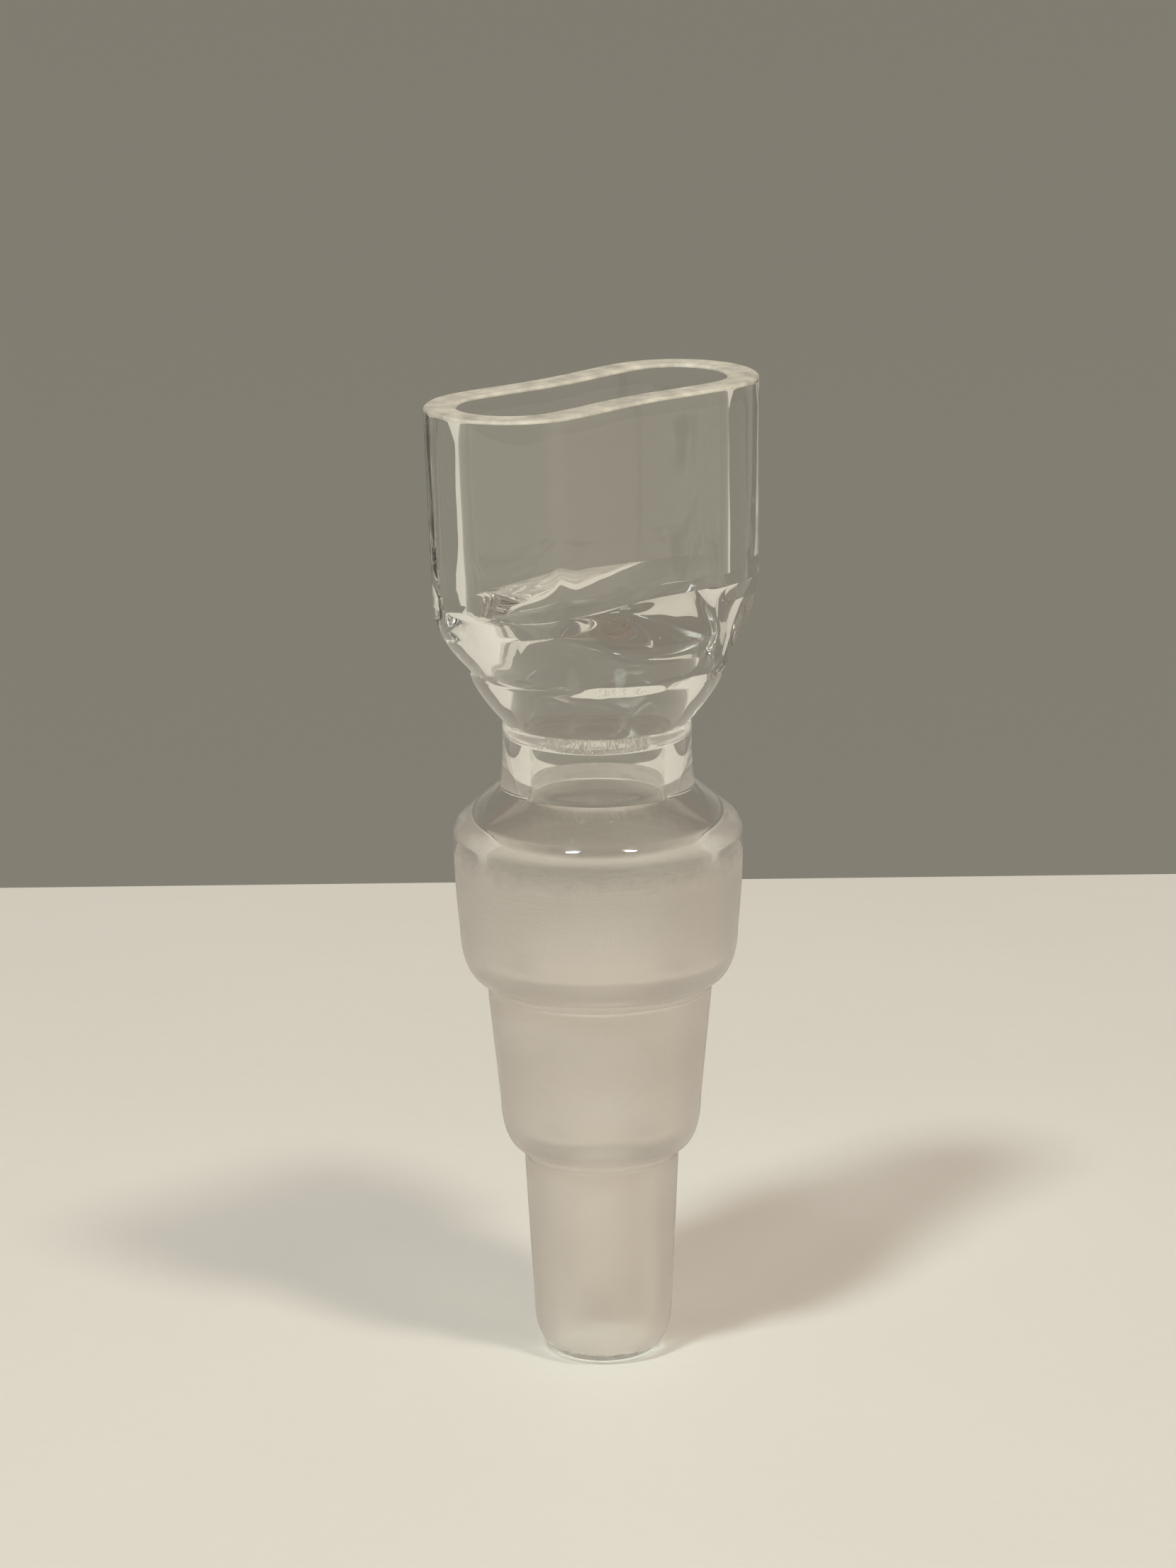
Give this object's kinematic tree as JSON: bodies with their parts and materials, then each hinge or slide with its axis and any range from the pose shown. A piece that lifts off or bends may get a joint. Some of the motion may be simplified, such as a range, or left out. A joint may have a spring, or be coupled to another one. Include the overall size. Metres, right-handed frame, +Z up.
{
  "type": "stepped ground joint mouth adapter",
  "caption": "Clear glass adapter: a flattened oval mouth and a round cup over a waisted neck, ending in a frosted ground cone stepped down in diameter to an open tip.",
  "frame": {"origin": "centre of the open tip's end face, on which the part stands", "axes": "+Z up along the bore, from the tip to the mouth; X along the mouth's long way, with the end that hangs lower on +X; Y across the mouth"},
  "size_m": [0.025, 0.0188, 0.0646],
  "materials": {
    "clear_glass": "clear, flame-worked, glossy",
    "cut_rim_glass": "flat-cut and lightly fire-polished, slightly cloudy",
    "seam_glass": "clear with a faint band of seeds and tooling marks",
    "shoulder_glass": "clear, with frosting fading in towards the ground belt",
    "ground_glass": "fine ground, evenly frosted, matte",
    "tip_glass": "frosted above, fire-polished clear at the end"
  },
  "bodies": {
    "root": {"mouth_rim": "cut_rim_glass", "mouth_tube": "clear_glass", "mouth_shoulder": "clear_glass", "cup": "clear_glass", "waist_seam": "seam_glass", "neck": "clear_glass", "joint_shoulder": "shoulder_glass", "large_joint": "ground_glass", "middle_joint": "ground_glass", "small_joint": "ground_glass", "polished_tip": "tip_glass"}
  },
  "joints": []
}
